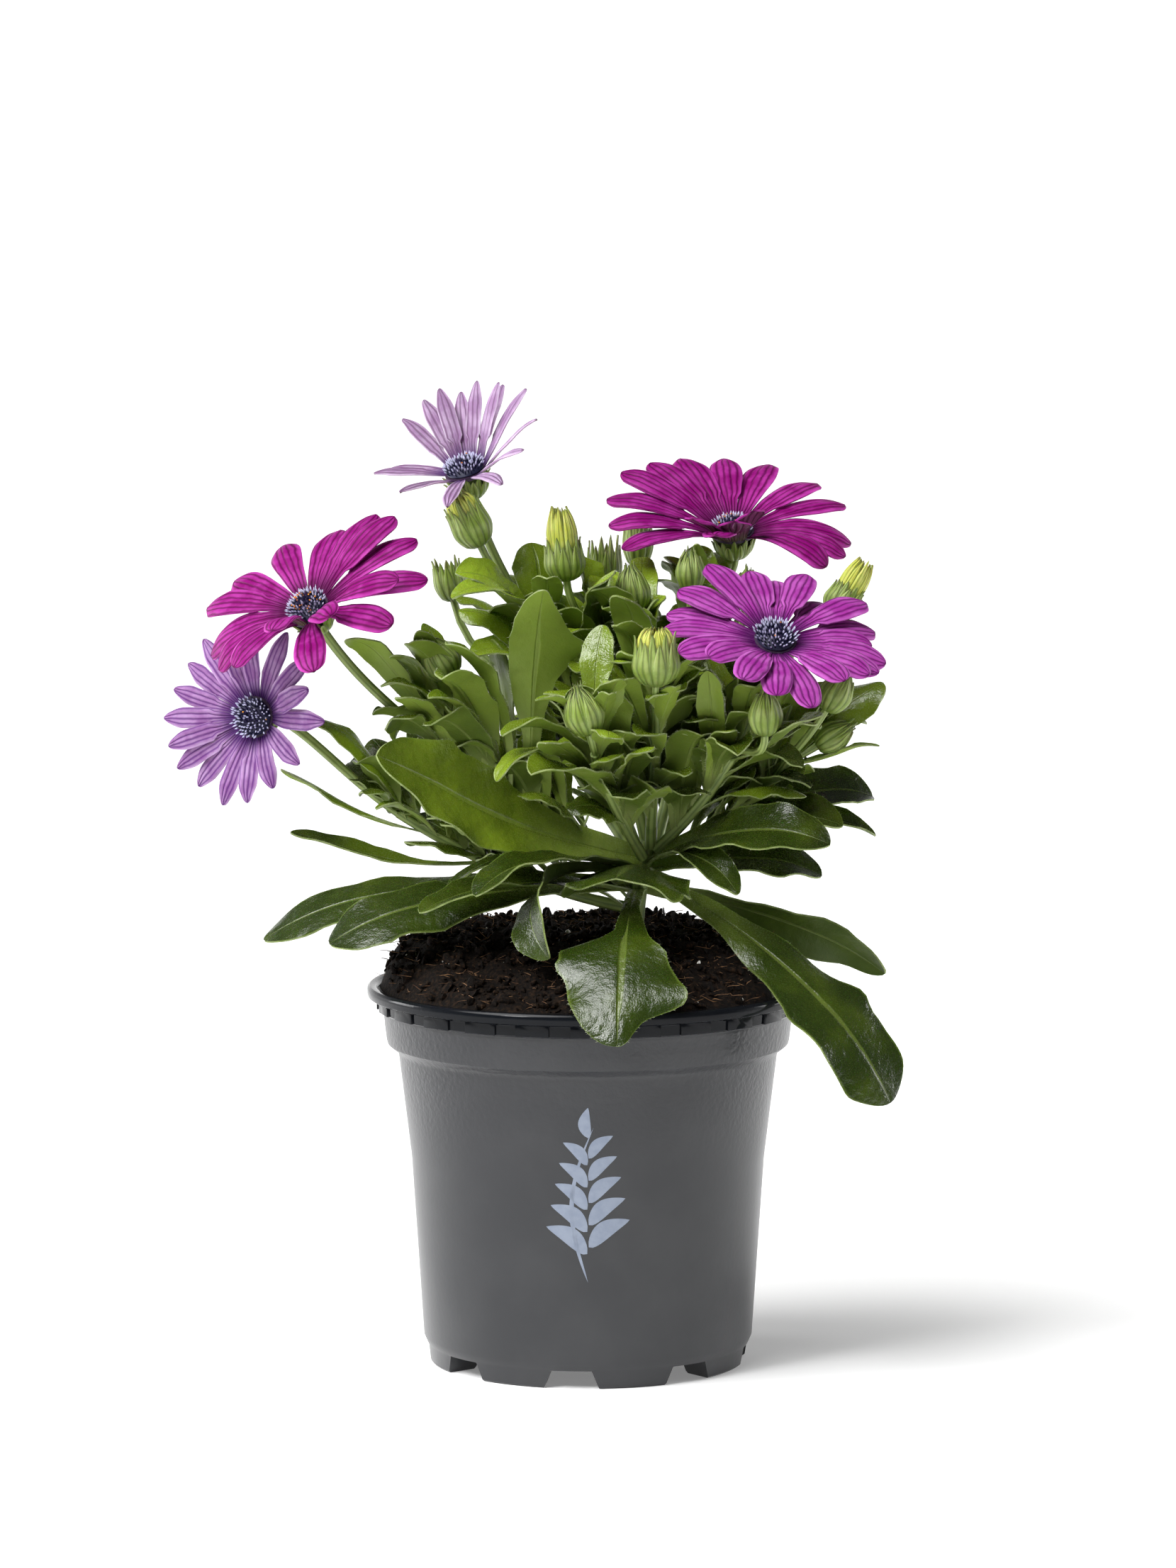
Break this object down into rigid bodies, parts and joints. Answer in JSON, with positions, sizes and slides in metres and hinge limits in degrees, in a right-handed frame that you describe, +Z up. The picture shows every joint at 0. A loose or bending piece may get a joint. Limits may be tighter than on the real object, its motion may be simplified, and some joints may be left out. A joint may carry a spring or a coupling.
{
  "type": "potted osteospermum",
  "caption": "Bushy flowering osteospermum with magenta, violet and lavender daisies, buds and fleshy leaves, growing in peat in a round tapered nursery pot with a notched foot.",
  "frame": {"origin": "middle of the whole plant's footprint, on the surface that the pot stands on", "axes": "+Z up along the pot's axis, +X to the right and +Y away from the front, which is the side that most blooms face"},
  "size_m": [0.2168, 0.1392, 0.288],
  "materials": {
    "pot_plastic": "semi-matt moulded polypropylene, anthracite",
    "peat": "loose dark peat with fibres and crumbs",
    "leaf": "fleshy green leaf, satin, with fine pale hairs along its edges",
    "magenta_petal": "satin magenta petal, darker along its veins",
    "violet_petal": "satin magenta-violet petal, paler at its edges",
    "lavender_petal": "satin lavender petal, grey-brown beneath",
    "disc_florets": "matt navy florets with pale tips and orange pollen",
    "bud_petal": "satin yellow-green furled petals"
  },
  "bodies": {
    "root": {"pot": "pot_plastic", "soil": "peat", "crown": "leaf", "stem_a": "leaf", "stem_b": "leaf", "stem_c": "leaf", "stem_d": "leaf", "stem_e": "leaf", "stem_f": "leaf", "stem_g": "leaf", "stem_h": "leaf", "stem_i": "leaf", "stem_k": "leaf", "stem_l": "leaf", "stem_m": "leaf", "bloom_a_petals": "magenta_petal", "bloom_b_petals": "lavender_petal", "bloom_c_petals": "lavender_petal", "bloom_d_petals": "magenta_petal", "bloom_e_petals": "violet_petal", "bloom_a_disc": "disc_florets", "bloom_b_disc": "disc_florets", "bloom_c_disc": "disc_florets", "bloom_d_disc": "disc_florets", "bloom_e_disc": "disc_florets", "stem_c_bud_petals": "bud_petal", "stem_f_bud_petals": "bud_petal", "stem_h_bud_petals": "bud_petal", "stem_k_bud_petals": "bud_petal"}
  },
  "joints": []
}
